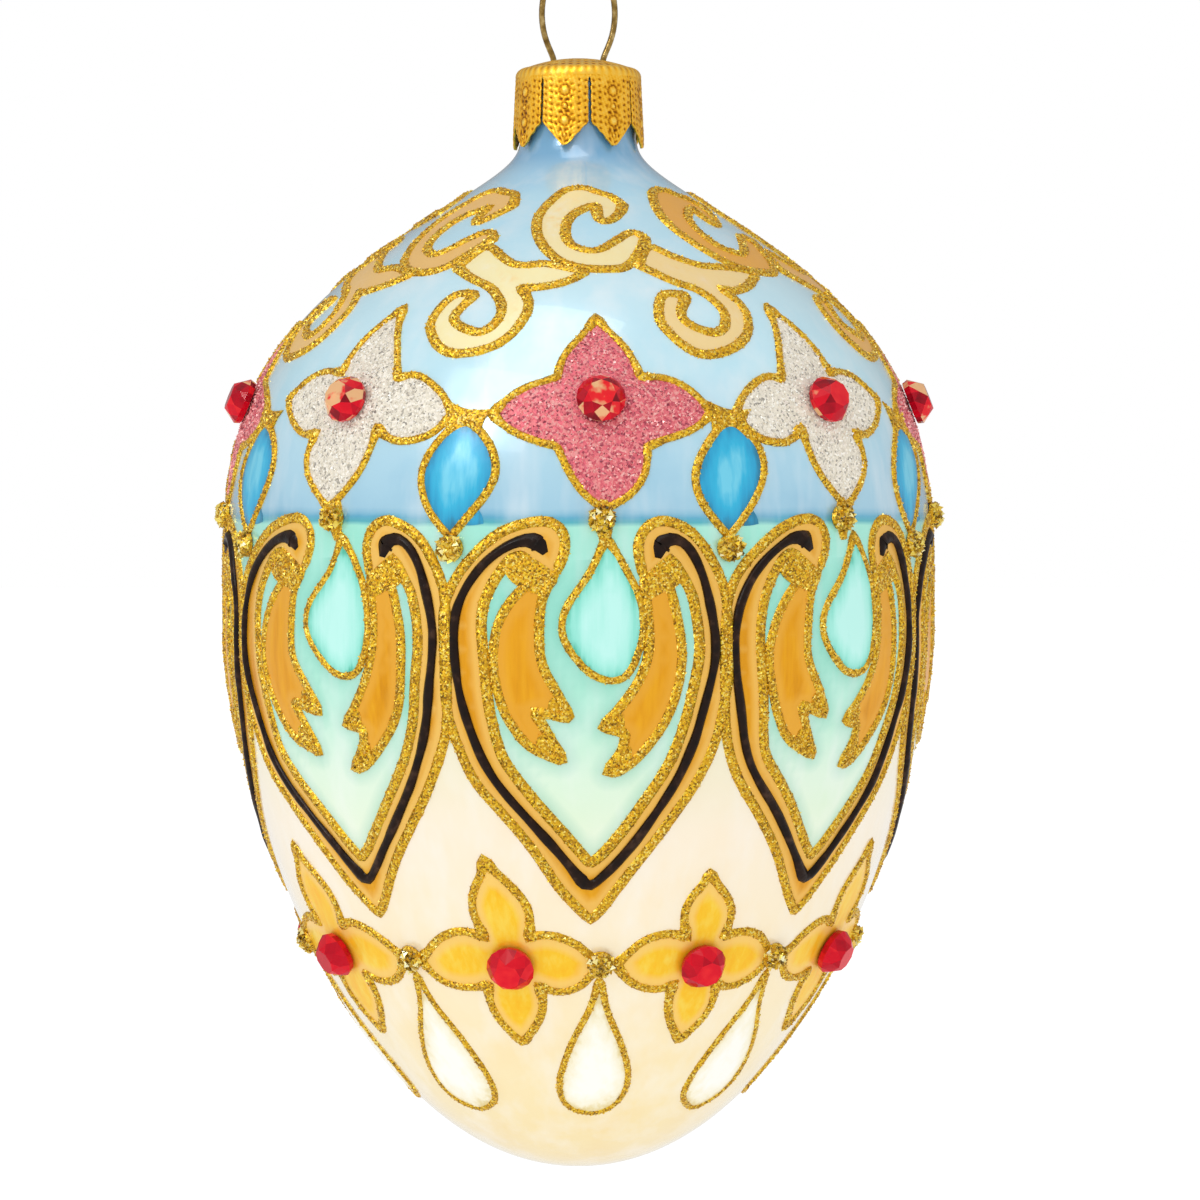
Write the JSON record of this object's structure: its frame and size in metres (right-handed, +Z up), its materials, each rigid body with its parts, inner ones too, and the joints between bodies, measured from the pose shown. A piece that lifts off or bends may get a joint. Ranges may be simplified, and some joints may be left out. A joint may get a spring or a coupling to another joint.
{
  "type": "hanging glass egg ornament",
  "caption": "Hollow painted glass egg set with red stones, with a stamped crown cap and a wire loop to hang it by.",
  "frame": {"origin": "top inside of the wire loop, where a hook or branch bears", "axes": "+Z up along the egg's axis, -Y out of the front, +X to the viewer's right"},
  "size_m": [0.0745, 0.0753, 0.1258],
  "materials": {
    "lacquered_glass": "pearl lacquer, sky blue over mint over cream, clear gloss on top",
    "gold_cap": "stamped sheet, orange-gold anodised, embossed",
    "hanger_wire": "spring wire, brass plated, bright",
    "red_stone": "faceted, foil backed, polished",
    "gold_grit": "coarse glittering grit set in glue",
    "gold_glitter": "raised glue lines with fine gold glitter",
    "dark_enamel": "thick raised line, gloss",
    "gold_paint": "ochre gold paint, satin",
    "pink_glitter": "fine pink glitter field",
    "white_glitter": "fine iridescent white glitter field",
    "turquoise_enamel": "translucent enamel drop, gloss",
    "pearl_white": "pearl white paint, satin"
  },
  "bodies": {
    "root": {"glass_shell": "lacquered_glass", "cap": "gold_cap", "hanger_wire": "hanger_wire", "upper_stone_1": "red_stone", "upper_stone_2": "red_stone", "upper_stone_3": "red_stone", "upper_stone_4": "red_stone", "upper_stone_5": "red_stone", "upper_stone_6": "red_stone", "upper_stone_7": "red_stone", "upper_stone_8": "red_stone", "lower_stone_1": "red_stone", "lower_stone_2": "red_stone", "lower_stone_3": "red_stone", "lower_stone_4": "red_stone", "lower_stone_5": "red_stone", "lower_stone_6": "red_stone", "lower_stone_7": "red_stone", "lower_stone_8": "red_stone", "flower_bead_1": "gold_grit", "flower_bead_2": "gold_grit", "flower_bead_3": "gold_grit", "flower_bead_4": "gold_grit", "flower_bead_5": "gold_grit", "flower_bead_6": "gold_grit", "flower_bead_7": "gold_grit", "flower_bead_8": "gold_grit", "marquise_bead_1": "gold_grit", "marquise_bead_2": "gold_grit", "marquise_bead_3": "gold_grit", "marquise_bead_4": "gold_grit", "marquise_bead_5": "gold_grit", "marquise_bead_6": "gold_grit", "marquise_bead_7": "gold_grit", "marquise_bead_8": "gold_grit", "lower_bead_1": "gold_grit", "lower_bead_2": "gold_grit", "lower_bead_3": "gold_grit", "lower_bead_4": "gold_grit", "lower_bead_5": "gold_grit", "lower_bead_6": "gold_grit", "lower_bead_7": "gold_grit", "lower_bead_8": "gold_grit"}
  },
  "joints": []
}
